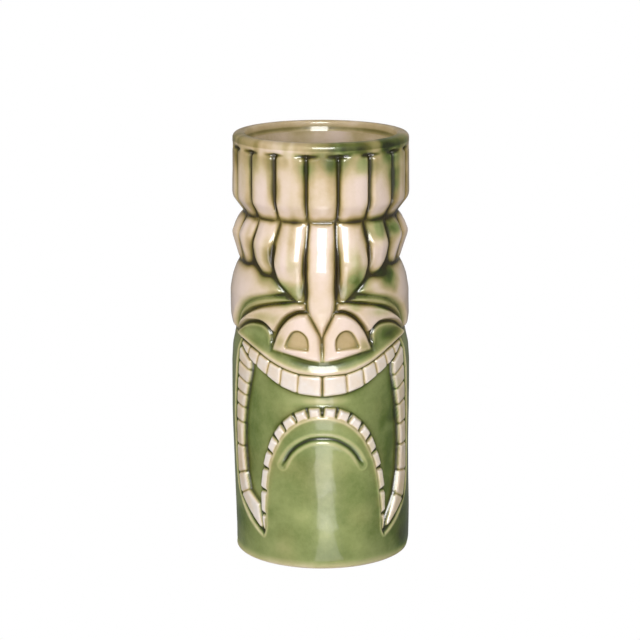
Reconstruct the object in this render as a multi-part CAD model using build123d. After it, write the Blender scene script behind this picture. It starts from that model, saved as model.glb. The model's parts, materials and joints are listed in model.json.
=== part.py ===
from build123d import *
import os
from math import cos, hypot, radians, sin, tan

# Tiki mug: a slip-cast, glazed tumbler with a carved face, kept as the clay pieces that its master is built
# up from. Millimetres, +Z up, the face looks along -Y, and the origin is the middle of the foot's underside.
# The relief is laid out flat as (u, z): u is the arc length from the front line towards +X at radius FLAT_R.
os.makedirs("parts", exist_ok=True)

# ---- driving sizes
HEIGHT = 165.0
FLAT_R = 34.0
INSIDE_R = 28.4
WAIST_INSIDE_R = 26.6
CORE_R = 30.3
POCKET_R = 32.2
FOOT_TOP_Z = 3.0
FOOT_INSIDE_R = 25.5
FLOOR_UNDER_Z = 1.6
FLOOR_TOP_Z = 6.0
FLOOR_CORNER_R = 8.0
BLOCK_R = 37.0
LEDGE_Z = 88.0
WAIST_Z = 134.5
BAND_Z = 160.0
BAND_R = 34.1
GROOVE = 0.6
LUTING_GAP = 0.15
TOOTH_GAP = 0.3
CENTRE_LAP = 0.1
TOOTH_TOP_R = 34.6

# ---- staves: the angles of the grooves between them, on one side of the front line
FRONT_GROOVES = [9.6, 31.5, 51.5]
STAVE_PITCH = 19.8
SIDE_GROOVES = [FRONT_GROOVES[-1] + STAVE_PITCH * step for step in range(1, 7)]
GROOVES = FRONT_GROOVES + SIDE_GROOVES
STAVE_DRAFT = 0.86
CROWN_CORNER = 2.4
HAIR_TOP_Z = 134.2
HAIR_END_Z = 116.0
NAPE_Z = 90.5
LONG_HAIR_FROM = 5

# ---- outer profiles of the relief, (radius, z), from the top down
CROWN_PROFILE = [(BAND_R, BAND_Z), (BAND_R, 142.0), (31.0, 134.8)]
HAIR_PROFILE = [(31.0, HAIR_TOP_Z), (34.0, 126.5), (31.4, HAIR_END_Z)]
LONG_HAIR_PROFILE = [(31.0, HAIR_TOP_Z), (34.0, 126.5), (33.3, 117.0), (34.3, 102.0), (33.6, NAPE_Z)]
INNER_LOCK_PROFILE = [(31.0, HAIR_TOP_Z), (33.5, 126.0), (34.2, 119.0), (33.6, 110.0), (33.2, 104.0)]
OUTER_LOCK_PROFILE = [(31.0, HAIR_TOP_Z), (33.9, 125.0), (32.2, 113.4)]
BRIDGE_PROFILE = [(31.0, HAIR_TOP_Z), (34.6, 115.0), (34.6, 101.0), (33.5, 91.0)]
BROW_PROFILE = [(31.8, 117.0), (33.6, 111.5), (34.8, 104.0), (34.8, 94.0), (33.8, 90.0), (33.0, 88.4)]
EYE_PROFILE = [(32.6, 106.0), (32.6, 91.0)]
EYELID_PROFILE = [(33.8, 105.0), (34.6, 100.0), (34.6, 92.0), (33.9, 88.2)]
NOSTRIL_PROFILE = [(34.8, 101.0), (35.4, 95.0), (35.4, 86.0), (34.6, 81.0)]
LIP_PROFILE = [(33.4, 96.0), (33.8, 90.0), (34.6, 84.0), (34.9, 80.0), (34.2, 76.0)]
BEAD_PROFILE = [(34.9, 88.0), (34.9, 10.0)]
TOOTH_PROFILE = [(TOOTH_TOP_R, 88.0), (TOOTH_TOP_R, 10.0)]

# ---- outlines of the right half of the face: runs of (u, z), where each run is one smooth curve
INNER_LOCK = [
    [(17.8, 134.0)],
    [(19.2, 126.0), (20.2, 120.0), (17.5, 112.0), (13.5, 108.0), (7.5, 104.2)],
    [(6.0, 105.0)],
    [(6.0, 134.0)],
]
OUTER_LOCK = [
    [(30.2, 134.0)],
    [(30.5, 126.0), (30.6, 120.5)],
    [(29.3, 117.0), (26.0, 114.2), (22.0, 113.8), (20.6, 115.5)],
    [(21.0, 120.0), (20.0, 126.0), (18.6, 134.0)],
]
BRIDGE = [
    [(5.3, 134.0)],
    [(5.6, 115.0), (5.3, 102.0), (2.6, 95.5), (0.0, 91.5)],
    [(-2.6, 95.5), (-5.3, 102.0), (-5.6, 115.0), (-5.3, 134.0)],
]
BROW = [
    [(17.8, 110.8), (20.8, 112.5), (26.0, 113.0), (30.5, 115.6), (33.0, 116.0)],
    [(37.0, 115.0), (43.0, 115.2)],
    [(63.0, 115.2)],
    [(65.0, 113.0), (65.4, 104.0), (65.0, 91.0), (63.0, 88.6)],
    [(48.0, 88.6)],
    [(44.5, 92.5), (41.0, 97.0), (32.0, 103.3), (20.0, 106.4), (14.5, 107.8)],
]
EYE = [
    [(20.0, 105.4), (32.0, 102.2), (41.0, 96.0), (43.8, 92.0)],
    [(40.5, 94.3), (31.0, 99.7), (18.0, 103.3), (11.0, 105.0)],
]
EYELID = [
    [(6.2, 104.0)],
    [(11.0, 104.2), (18.0, 102.8), (31.0, 99.0), (41.0, 93.0), (46.2, 88.8)],
    [(41.0, 91.5), (31.0, 95.6), (22.0, 94.9), (19.2, 92.8)],
    [(16.8, 95.8), (13.6, 99.3), (9.5, 101.2), (6.2, 101.6)],
]
NOSTRIL = [
    [(9.2, 100.2), (13.0, 98.0), (18.2, 91.2), (20.3, 85.2)],
    [(10.0, 83.6), (0.4, 82.2)],
    [(0.4, 90.5)],
    [(3.0, 95.6), (5.6, 100.6)],
]
NOSTRIL_HOLE = [
    [(6.5, 90.0), (8.0, 93.0), (11.0, 93.7), (13.8, 90.0), (14.6, 87.2)],
    [(6.2, 86.8)],
]
MOUTH_TOP = [(-CENTRE_LAP, 76.7), (9.2, 77.4), (20.0, 80.9), (33.0, 86.0), (39.5, 87.9)]
MOUTH_SIDE = [(41.3, 78.0), (43.2, 62.0), (44.0, 40.0), (41.8, 27.0), (33.3, 16.5), (25.0, 11.0)]
MOUTH_ARCH = [(24.0, 20.0), (22.4, 36.0), (18.0, 48.0), (10.0, 57.6), (-CENTRE_LAP, 60.7)]
MOUTH = [MOUTH_TOP[1:], MOUTH_SIDE, MOUTH_ARCH, MOUTH_TOP[:1]]
POCKET = [[(39.5, LEDGE_Z)], MOUTH_SIDE, MOUTH_ARCH, [(-CENTRE_LAP, LEDGE_Z)]]
UPPER_LIP = [
    [(5.0, 81.6), (20.8, 84.0)],
    [(20.6, 91.5), (26.0, 95.1), (36.0, 93.2), (44.6, 88.7)],
    [(39.5, 87.9)],
    list(reversed(MOUTH_TOP[:-1])),
    [(-CENTRE_LAP, 81.5)],
]
CHIN_GROOVE = [
    [(5.0, 52.3), (10.0, 49.5), (14.0, 45.4), (16.4, 40.6)],
    [(14.8, 40.3)],
    [(12.2, 44.4), (9.0, 47.6), (4.5, 50.3), (-CENTRE_LAP, 51.0)],
    [(-CENTRE_LAP, 53.0)],
]
BEAD_WIDTH = 1.2

# ---- teeth of the right half: each cut between two teeth, as its outer and inner end, (u, z)
UPPER_TOOTH_CUTS = [
    ((0.4, 75.4), (0.4, 68.5)), ((9.5, 75.8), (9.3, 69.4)), ((16.5, 78.2), (16.5, 71.7)),
    ((22.0, 80.2), (22.8, 75.0)), ((27.0, 82.4), (28.0, 77.7)), ((32.0, 84.2), (32.8, 80.6)),
    ((38.4, 86.2), (36.6, 83.4)),
]
SIDE_TOOTH_CUTS = [
    ((39.6, 79.5), (32.6, 77.0)), ((40.3, 74.6), (33.0, 73.2)), ((41.0, 68.6), (34.4, 67.8)),
    ((41.6, 61.6), (35.8, 61.0)), ((42.1, 53.4), (36.8, 53.0)), ((42.5, 44.3), (37.2, 44.3)),
    ((42.0, 33.0), (36.2, 34.2)), ((39.4, 24.6), (33.4, 26.6)), ((26.6, 13.4), (28.4, 18.4)),
]
LOWER_TOOTH_CUTS = [
    ((0.0, 64.3), (0.0, 61.3)), ((6.2, 63.6), (5.2, 60.6)), ((11.8, 61.3), (9.8, 58.5)),
    ((16.6, 57.2), (14.3, 54.6)), ((20.3, 52.3), (17.6, 49.8)), ((23.0, 46.8), (20.2, 44.8)),
    ((25.0, 40.5), (22.1, 39.6)), ((26.7, 32.6), (23.4, 32.2)), ((27.2, 22.0), (24.5, 22.0)),
    ((26.4, 14.8), (24.9, 15.0)),
]


def inset(points, gap):
    """Moves each corner of a closed outline inwards by the gap."""
    count = len(points)
    pairs = [(points[i - 1], points[i]) for i in range(count)]
    turning = sum(a[0] * b[1] - a[1] * b[0] for a, b in pairs)
    side = 1 if turning > 0 else -1
    normals = []
    for (u0, z0), (u1, z1) in pairs:
        length = hypot(u1 - u0, z1 - z0)
        normals.append(((z0 - z1) / length * side, (u1 - u0) / length * side))
    moved = []
    for i, (u, z) in enumerate(points):
        (nu, nz), (mu, mz) = normals[i], normals[(i + 1) % count]
        share = gap / max(1 + nu * mu + nz * mz, 0.5)
        moved.append((u + (nu + mu) * share, z + (nz + mz) * share))
    return moved


def inset_runs(runs, gap):
    """Insets an outline made of runs, and keeps its runs."""
    moved = inset([point for run in runs for point in run], gap)
    kept = []
    for run in runs:
        kept.append(moved[:len(run)])
        moved = moved[len(run):]
    return kept


def mirrored(runs):
    """The same outline on the other side of the front line."""
    return [[(-u, z) for u, z in run] for run in runs]


def flat_wire(runs, facing, distance, draft, middle):
    """One outline on the plane at a distance from the axis, spread so that its walls point at the axis."""
    across = Vector(cos(facing), sin(facing), 0)
    outward = Vector(sin(facing), -cos(facing), 0)

    def place(point):
        u = middle + (point[0] - middle) * draft
        return outward * distance + across * (distance * tan(u / FLAT_R - facing)) + Vector(0, 0, point[1])

    edges = []
    start = runs[-1][-1]
    for run in runs:
        points = [place(point) for point in [start] + run]
        edges.append(Line(*points) if len(points) == 2 else Spline(*points))
        start = run[-1]
    return Wire(edges)


def radial_prism(runs, draft=1.0):
    """A block with this outline, whose side walls run straight away from the mug's axis."""
    across = [u for run in runs for u, z in run]
    middle = (min(across) + max(across)) / 2
    facing = middle / FLAT_R
    near = CORE_R * cos((max(across) - middle) / FLAT_R) - 1.0
    inner = flat_wire(runs, facing, near, 1.0, middle)
    outer = flat_wire(runs, facing, BLOCK_R, draft, middle)
    return Solid.make_loft([inner, outer], ruled=True)


def turned_section(*lines):
    """A closed section, drawn with radius as X and height as Z, turned about the axis."""
    edges = [edge for line in lines for edge in line.edges()]
    return revolve(Face(Wire(edges)), Axis.Z)


def turned(profile):
    """A closed (radius, z) profile turned about the axis."""
    corners = [Vector(r, 0, z) for r, z in profile]
    return turned_section(Polyline(*corners, corners[0]))


def relief_ring(profile):
    """The ring of clay between the cup and an outer profile given from the top down."""
    top, bottom = profile[0][1], profile[-1][1]
    if bottom >= LEDGE_Z:
        return turned(profile + [(CORE_R, bottom), (CORE_R, top)])
    if top <= LEDGE_Z:
        return turned(profile + [(POCKET_R, bottom), (POCKET_R, top)])
    return turned(profile + [(POCKET_R, bottom), (POCKET_R, LEDGE_Z), (CORE_R, LEDGE_Z), (CORE_R, top)])


def applied(runs, ring, gap=LUTING_GAP, draft=1.0):
    """One relief piece: the block with this outline that lies within the ring."""
    return radial_prism(inset_runs(runs, gap), draft) & ring


def only_solid(shape):
    """The one solid of a shape, or its largest where a boolean leaves a crumb."""
    return max(shape.solids(), key=lambda solid: solid.volume)


def stave_runs(start, end, top, bottom, corner):
    """A stave's outline between two groove angles, with the lower corners rounded."""
    low, high = FLAT_R * radians(start) + GROOVE / 2, FLAT_R * radians(end) - GROOVE / 2
    bend = corner * 0.3
    return [
        [(high, top)],
        [(high, bottom + corner)],
        [(high - bend, bottom + bend), (high - corner, bottom)],
        [(low + corner, bottom)],
        [(low + bend, bottom + bend), (low, bottom + corner)],
        [(low, top)],
    ]


def stave_angles():
    """The grooves at each side of every stave, from the front one round through +X."""
    right = list(zip(GROOVES[:-1], GROOVES[1:]))
    left = [(360 - end, 360 - start) for start, end in reversed(right)]
    return [(-GROOVES[0], GROOVES[0])] + right + [(GROOVES[-1], 360 - GROOVES[-1])] + left


def both_sides(name, runs, ring, draft=1.0):
    """A pair of relief pieces, mirrored about the front line."""
    return {
        f"{name}_right": only_solid(applied(runs, ring, draft=draft)),
        f"{name}_left": only_solid(applied(mirrored(runs), ring, draft=draft)),
    }


def vessel():
    """The cup itself: its wall with the mouth pocket, the floor, the foot and the rim."""
    barrel = Spline(
        (34.2, 0, FOOT_TOP_Z), (34.5, 0, 20), (34.9, 0, 55), (34.8, 0, 75), (34.2, 0, 83), (33.0, 0, LEDGE_Z),
    )
    inside = Spline(
        (INSIDE_R, 0, BAND_Z), (INSIDE_R, 0, 146), (WAIST_INSIDE_R, 0, WAIST_Z),
        (INSIDE_R, 0, 118), (INSIDE_R, 0, 100),
    )
    wall = turned_section(
        barrel,
        Polyline((33.0, 0, LEDGE_Z), (CORE_R, 0, LEDGE_Z), (CORE_R, 0, BAND_Z), (INSIDE_R, 0, BAND_Z)),
        inside,
        Polyline((INSIDE_R, 0, 100), (INSIDE_R, 0, FOOT_TOP_Z), (34.2, 0, FOOT_TOP_Z)),
    )
    cut_ring = turned([(BLOCK_R, LEDGE_Z), (BLOCK_R, 8.0), (POCKET_R, 8.0), (POCKET_R, LEDGE_Z)])
    groove_ring = turned([(BLOCK_R, 56.0), (BLOCK_R, 36.0), (34.0, 36.0), (34.0, 56.0)])
    for runs in (POCKET, mirrored(POCKET)):
        wall -= radial_prism(inset_runs(runs, -BEAD_WIDTH)) & cut_ring
    for runs in (CHIN_GROOVE, mirrored(CHIN_GROOVE)):
        wall -= radial_prism(runs) & groove_ring
    corner_z = FLOOR_TOP_Z + FLOOR_CORNER_R
    bend = FLOOR_CORNER_R * (1 - cos(radians(45)))
    floor = turned_section(
        Polyline(
            (0, 0, FLOOR_TOP_Z), (0, 0, FLOOR_UNDER_Z), (FOOT_INSIDE_R, 0, FLOOR_UNDER_Z),
            (FOOT_INSIDE_R, 0, FOOT_TOP_Z), (INSIDE_R, 0, FOOT_TOP_Z), (INSIDE_R, 0, corner_z),
        ),
        ThreePointArc(
            (INSIDE_R, 0, corner_z), (INSIDE_R - bend, 0, FLOOR_TOP_Z + bend),
            (INSIDE_R - FLOOR_CORNER_R, 0, FLOOR_TOP_Z),
        ),
        Line((INSIDE_R - FLOOR_CORNER_R, 0, FLOOR_TOP_Z), (0, 0, FLOOR_TOP_Z)),
    )
    foot = turned([
        (FOOT_INSIDE_R, 0.6), (FOOT_INSIDE_R + 0.6, 0), (33.2, 0), (34.0, 0.9),
        (34.2, FOOT_TOP_Z), (FOOT_INSIDE_R, FOOT_TOP_Z),
    ])
    band = turned([
        (INSIDE_R, BAND_Z), (BAND_R, BAND_Z), (BAND_R, 162.6), (33.2, 164.4), (31.8, HEIGHT),
        (29.8, HEIGHT), (28.7, 164.4), (INSIDE_R, 163.2),
    ])
    return {
        "cup_wall": only_solid(wall),
        "cup_floor": floor,
        "foot_ring": foot,
        "rim_band": band,
    }


def headdress():
    """The crown of upright staves under the rim."""
    ring = relief_ring(CROWN_PROFILE)
    pieces = {}
    for number, (start, end) in enumerate(stave_angles(), 1):
        runs = stave_runs(start, end, BAND_Z, CROWN_PROFILE[-1][1], CROWN_CORNER)
        pieces[f"crown_stave_{number:02d}"] = only_solid(applied(runs, ring, gap=0.0, draft=STAVE_DRAFT))
    return pieces


def hair():
    """The locks below the waist: shaped beside the nose, plain at the sides, long at the nape."""
    short, long = relief_ring(HAIR_PROFILE), relief_ring(LONG_HAIR_PROFILE)
    inner, outer = relief_ring(INNER_LOCK_PROFILE), relief_ring(OUTER_LOCK_PROFILE)
    angles = stave_angles()[1:]
    last = len(angles)
    pieces = {}
    for number, (start, end) in enumerate(angles, 1):
        place = min(number, last + 1 - number)
        if place <= 2:
            runs, ring = (INNER_LOCK, inner) if place == 1 else (OUTER_LOCK, outer)
            runs = runs if number == place else mirrored(runs)
            lock = applied(runs, ring)
        else:
            is_long = place > LONG_HAIR_FROM
            runs = stave_runs(start, end, HAIR_TOP_Z, NAPE_Z if is_long else HAIR_END_Z, CROWN_CORNER)
            lock = applied(runs, long if is_long else short, gap=0.0, draft=STAVE_DRAFT)
        pieces[f"hair_stave_{number:02d}"] = only_solid(lock)
    pieces["nose_bridge"] = only_solid(applied(BRIDGE, relief_ring(BRIDGE_PROFILE)))
    return pieces


def face():
    """Brows, eyes, lids, nostrils, the upper lip with the cheeks, and the bead round the mouth."""
    pieces = {}
    pieces.update(both_sides("brow", BROW, relief_ring(BROW_PROFILE)))
    pieces.update(both_sides("eye", EYE, relief_ring(EYE_PROFILE)))
    pieces.update(both_sides("eyelid", EYELID, relief_ring(EYELID_PROFILE)))
    pieces.update(both_sides("nostril", NOSTRIL, relief_ring(NOSTRIL_PROFILE)))
    hollow = turned([(BLOCK_R, 96.0), (BLOCK_R, 84.0), (33.4, 84.0), (33.4, 96.0)])
    for side, runs in (("right", NOSTRIL_HOLE), ("left", mirrored(NOSTRIL_HOLE))):
        pieces[f"nostril_{side}"] = only_solid(pieces[f"nostril_{side}"] - (radial_prism(runs) & hollow))
    lip_ring, bead_ring = relief_ring(LIP_PROFILE), relief_ring(BEAD_PROFILE)
    bead_edge = inset_runs(MOUTH, LUTING_GAP - BEAD_WIDTH)
    lip = (radial_prism(UPPER_LIP) & lip_ring) + (radial_prism(mirrored(UPPER_LIP)) & lip_ring)
    bead = (radial_prism(bead_edge) & bead_ring) + (radial_prism(mirrored(bead_edge)) & bead_ring)
    for runs in (MOUTH, UPPER_LIP):
        bead -= radial_prism(runs)
        bead -= radial_prism(mirrored(runs))
    pieces["upper_lip"] = only_solid(lip)
    pieces["lip_bead"] = only_solid(bead)
    return pieces


def tooth_row(cuts, ring, side):
    """A row of separate teeth between consecutive cuts, on one side of the mouth."""
    row = []
    for (outer_a, inner_a), (outer_b, inner_b) in zip(cuts[:-1], cuts[1:]):
        corners = inset([outer_a, outer_b, inner_b, inner_a], TOOTH_GAP)
        runs = [[(u * side, z)] for u, z in corners]
        row.append(only_solid(radial_prism(runs) & ring))
    return row


def teeth():
    """Three rows of teeth on each side, each row a group of separate solids."""
    ring = relief_ring(TOOTH_PROFILE)
    rows = {"upper_teeth": UPPER_TOOTH_CUTS, "side_teeth": SIDE_TOOTH_CUTS, "lower_teeth": LOWER_TOOTH_CUTS}
    pieces = {}
    for name, cuts in rows.items():
        for side_name, side in (("right", 1), ("left", -1)):
            pieces[f"{name}_{side_name}"] = Compound(children=tooth_row(cuts, ring, side))
    return pieces


for make in (vessel, headdress, hair, face, teeth):
    for node, shape in make().items():
        export_step(shape, f"parts/{node}.step")
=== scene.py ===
import json
import bpy
import numpy as np
from math import cos, pi, radians, sin
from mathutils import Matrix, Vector
from mathutils.geometry import delaunay_2d_cdt


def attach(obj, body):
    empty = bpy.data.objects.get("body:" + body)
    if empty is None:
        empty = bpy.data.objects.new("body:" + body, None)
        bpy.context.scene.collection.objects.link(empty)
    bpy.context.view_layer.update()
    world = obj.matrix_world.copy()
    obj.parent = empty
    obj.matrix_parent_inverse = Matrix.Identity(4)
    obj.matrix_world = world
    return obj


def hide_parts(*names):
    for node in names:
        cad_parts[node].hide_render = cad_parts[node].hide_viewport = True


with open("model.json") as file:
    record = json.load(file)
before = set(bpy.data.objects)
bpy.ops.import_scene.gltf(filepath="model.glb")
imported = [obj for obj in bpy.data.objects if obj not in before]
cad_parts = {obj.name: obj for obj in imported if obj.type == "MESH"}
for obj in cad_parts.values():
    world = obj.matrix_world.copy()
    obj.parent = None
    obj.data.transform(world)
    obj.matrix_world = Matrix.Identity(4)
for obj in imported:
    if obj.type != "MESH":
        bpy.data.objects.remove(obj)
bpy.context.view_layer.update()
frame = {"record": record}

# The mug's outside is one height map, radius over (u, z), both in millimetres: u is the arc length from the
# front line towards +X at FLAT_R. Every relief piece owns its share of the map, down to the middle of the
# groove round it, so that the pieces meet along the bottoms of the grooves as one glazed surface.
MM = 0.001
HEIGHT = 165.0
FLAT_R = 34.0
TURN = 2 * pi * FLAT_R
RASTER_COLS = 1220
RASTER_ROWS = 930
STEP_U = TURN / RASTER_COLS
STEP_Z = 0.175
FINE_STRIDE = 2
COARSE_STRIDE = 5
FINE_REACH = 46.0
LEDGE_Z = 88.0
BAND_ROW = 918
FOOT_ROW = 18
BAND_Z = BAND_ROW * STEP_Z
FOOT_Z = FOOT_ROW * STEP_Z
GROUND_LEVEL = -0.45
CUP_CORE_R = 31.3
HEAD_CORE_R = 29.3
INSIDE_R = 28.4
FOOT_INSIDE_R = 25.5
FLOOR_UNDER_Z = 1.6
FLOOR_TOP_Z = 6.0
FLOOR_GAP = 0.05
COVE_WIDE = 7.95
COVE_TALL = 8.0
FOOT_ASIDE = 0.8
HEAD_ASIDE = -0.45
CAP_SPACING = 14
FAR = 1000.0

u_line = (np.arange(RASTER_COLS) - RASTER_COLS // 2) * STEP_U
z_line = np.arange(RASTER_ROWS) * STEP_Z
ALL_U, ALL_Z = np.meshgrid(u_line, z_line, indexing="ij")


# ------ outlines
def curve_through(points, share=8):
    """A smooth run through the points, as a list without its last point."""
    pts = [np.array(p, float) for p in points]
    if len(pts) == 2:
        return [pts[0]]
    ghost = [2 * pts[0] - pts[1]] + pts + [2 * pts[-1] - pts[-2]]
    found = []
    for a, b, c, d in zip(ghost[:-3], ghost[1:-2], ghost[2:-1], ghost[3:]):
        for t in np.arange(share) / share:
            found.append(0.5 * (2 * b + (c - a) * t + (2 * a - 5 * b + 4 * c - d) * t ** 2
                                + (3 * b - a - 3 * c + d) * t ** 3))
    return found


def smooth_line(points):
    """The same run as an array that keeps its last point."""
    return np.array(curve_through(points) + [np.array(points[-1], float)])


def outline(runs):
    """A closed outline from runs of points: each run is one smooth curve from the end of the run before."""
    found, start = [], runs[-1][-1]
    for run in runs:
        found += curve_through([start] + run)
        start = run[-1]
    return np.array(found)


def flip(points):
    """The same points on the other side of the front line."""
    return [(-u, z) for u, z in points]


def mirrored(runs):
    return [flip(run) for run in runs]


def inset(corners, gaps):
    """A closed polygon with each side moved inwards by its own gap; side i runs from corner i to i + 1."""
    pts = np.array(corners, float)
    nxt = np.roll(pts, -1, axis=0)
    turning = np.sum(pts[:, 0] * nxt[:, 1] - pts[:, 1] * nxt[:, 0])
    way = (nxt - pts) / np.linalg.norm(nxt - pts, axis=1)[:, None]
    normal = np.stack([-way[:, 1], way[:, 0]], 1) * np.sign(turning)
    base = pts + normal * np.array(gaps, float)[:, None]
    found = []
    for i in range(len(pts)):
        a, b = i - 1, i
        m = np.array([way[a], -way[b]]).T
        t = np.linalg.solve(m, base[b] - base[a])[0]
        found.append(base[a] + way[a] * t)
    return np.array(found)


class Patch:
    """A window of the height map, with the signed distance to an outline in it, positive inside."""

    def __init__(self, first, last, low, high):
        self.first, self.low = first, low
        self.cols = np.arange(first, last + 1) % RASTER_COLS
        self.rows = np.arange(low, high + 1)
        self.at = np.ix_(self.cols, self.rows)
        self.u, self.z = np.meshgrid(
            (np.arange(first, last + 1) - RASTER_COLS // 2) * STEP_U, self.rows * STEP_Z, indexing="ij")
        self.d = np.full(self.u.shape, -9.0)


def patch_round(low_u, high_u, low_z, high_z, margin=2.4):
    """The patch that holds a span of the map, in millimetres, with a margin round it."""
    first = int(np.floor((low_u - margin) / STEP_U)) + RASTER_COLS // 2
    last = int(np.ceil((high_u + margin) / STEP_U)) + RASTER_COLS // 2
    low = max(int(np.floor((low_z - margin) / STEP_Z)), 0)
    high = min(int(np.ceil((high_z + margin) / STEP_Z)), RASTER_ROWS - 1)
    return Patch(first, min(last, first + RASTER_COLS - 1), low, high)


def signed_distance(polygon, u, z):
    """The distance to a closed polygon, positive inside it."""
    nearest = np.full(u.shape, 1e9)
    inside = np.zeros(u.shape, bool)
    for (ua, za), (ub, zb) in zip(polygon, np.roll(polygon, -1, axis=0)):
        du, dz = ub - ua, zb - za
        length = du * du + dz * dz
        if length < 1e-12:
            continue
        t = np.clip(((u - ua) * du + (z - za) * dz) / length, 0, 1)
        nearest = np.minimum(nearest, (u - ua - t * du) ** 2 + (z - za - t * dz) ** 2)
        if dz != 0:
            crosses = (za > z) != (zb > z)
            inside ^= crosses & (u < (z - za) * du / dz + ua)
    return np.where(inside, 1.0, -1.0) * np.sqrt(nearest)


def patch_of(polygon, corner=0.0, margin=2.4):
    """A patch with the distance to one polygon, whose corners may be rounded."""
    low, high = polygon.min(axis=0), polygon.max(axis=0)
    patch = patch_round(low[0] - corner, high[0] + corner, low[1] - corner, high[1] + corner, margin)
    patch.d = signed_distance(polygon, patch.u, patch.z) + corner
    return patch


def bar_patch(low_u, high_u, low_z, high_z, corner):
    """A patch with the distance to an upright bar with rounded corners."""
    patch = patch_round(low_u, high_u, low_z, high_z)
    across = np.abs(patch.u - (low_u + high_u) / 2) - (high_u - low_u) / 2 + corner
    along = np.abs(patch.z - (low_z + high_z) / 2) - (high_z - low_z) / 2 + corner
    beyond = np.hypot(np.maximum(across, 0), np.maximum(along, 0))
    patch.d = corner - beyond - np.minimum(np.maximum(across, along), 0)
    return patch


# ------ fields on the map
def soften(field, sigma):
    """A Gaussian blur by sigma millimetres, round the mug and up it."""
    found = field
    for axis, step in ((0, STEP_U), (1, STEP_Z)):
        reach = int(np.ceil(3 * sigma / step))
        shifts = np.arange(-reach, reach + 1)
        weights = np.exp(-0.5 * (shifts * step / sigma) ** 2)
        weights /= weights.sum()
        if axis == 0:
            padded = np.concatenate([found[-reach:], found, found[:reach]], 0)
        else:
            padded = np.pad(found, ((0, 0), (reach, reach)), mode="edge")
        total = np.zeros_like(found)
        for i, weight in enumerate(weights):
            part = padded[i:i + RASTER_COLS] if axis == 0 else padded[:, i:i + RASTER_ROWS]
            total += weight * part
        found = total
    return found


def swell(t):
    """A rounded shoulder: 0 at the outline, 1 from t = 1 on."""
    return np.sin(pi / 2 * np.clip(t, 0, 1)) ** 0.9


def drift(seed, size, tall=None):
    """Smooth noise about 0 whose lumps are about size millimetres across and tall millimetres high."""
    rng = np.random.default_rng(seed)
    cols, rows = max(int(TURN / size), 3), max(int(RASTER_ROWS * STEP_Z / (tall or size)), 3) + 2
    coarse = rng.normal(0, 1, (cols, rows))
    cu = (ALL_U / TURN + 0.5) * cols
    cz = ALL_Z / (RASTER_ROWS * STEP_Z) * (rows - 2)
    iu, iz = np.floor(cu).astype(int), np.floor(cz).astype(int)
    fu, fz = cu - iu, cz - iz
    fu, fz = fu * fu * (3 - 2 * fu), fz * fz * (3 - 2 * fz)
    iz1 = np.minimum(iz + 1, rows - 1)
    a, b = coarse[iu % cols, iz], coarse[(iu + 1) % cols, iz]
    c, d = coarse[iu % cols, iz1], coarse[(iu + 1) % cols, iz1]
    return (a * (1 - fu) + b * fu) * (1 - fz) + (c * (1 - fu) + d * fu) * fz


def level(profile, z):
    """The radius at each height, from (z, radius) pairs in rising order, with its corners eased."""
    fine = np.arange(-10, HEIGHT + 10, 0.25)
    radii = np.interp(fine, *zip(*profile))
    ease = np.exp(-0.5 * (np.arange(-12, 13) * 0.25 / 0.5) ** 2)
    radii[12:-12] = np.convolve(radii, ease / ease.sum(), mode="valid")
    return np.interp(z, fine, radii)


# ------ the mug's measures
GROOVES = [10.5, 32.8, 53.6] + [53.6 + 19.4 * step for step in range(1, 7)]
SKIN = [(0, 33.65), (3, 34.0), (12, 34.2), (40, 34.4), (55, 34.65), (75, 34.65), (82, 34.2), (88, 32.9),
        (90, 32.5)]
GROUND = [(84, 34.0), (88, 32.4), (90, 32.4), (112, 32.2), (116, 30.8), (126, 32.0), (131, 30.6),
          (134.5, 29.8), (137, 30.6), (142, 32.2), (165, 32.3)]
CROWN = [(132, 29.0), (134.6, 29.6), (140.3, 33.8), (142.0, 34.1), (165, 33.8)]
HAIR = [(113, 30.6), (116, 31.0), (119, 31.9), (126.0, 34.0), (127.4, 34.1), (131.5, 32.3), (134.2, 30.0),
        (136, 29.4)]
LONG_HAIR = [(88, 32.9), (92, 33.8), (102, 34.4), (116, 33.6), (125.6, 34.1), (127.4, 34.1), (134.2, 30.9)]
LOCK_1 = [(103, 32.2), (110, 33.3), (118.6, 34.9), (120.2, 34.75), (126, 33.4), (134.2, 30.9), (136, 30.2)]
LOCK_2 = [(112, 31.2), (118, 32.8), (124.4, 34.3), (126.2, 34.1), (134.2, 30.9), (136, 30.3)]
BRIDGE = [(90, 33.6), (93, 34.4), (101, 35.1), (114, 35.0), (116, 34.9), (126, 33.1), (134.2, 31.0),
          (136, 30.4)]
BROW = [(88, 33.1), (90, 33.9), (94, 34.6), (104, 34.55), (109.5, 33.6), (113, 32.3), (116, 30.8)]

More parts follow.
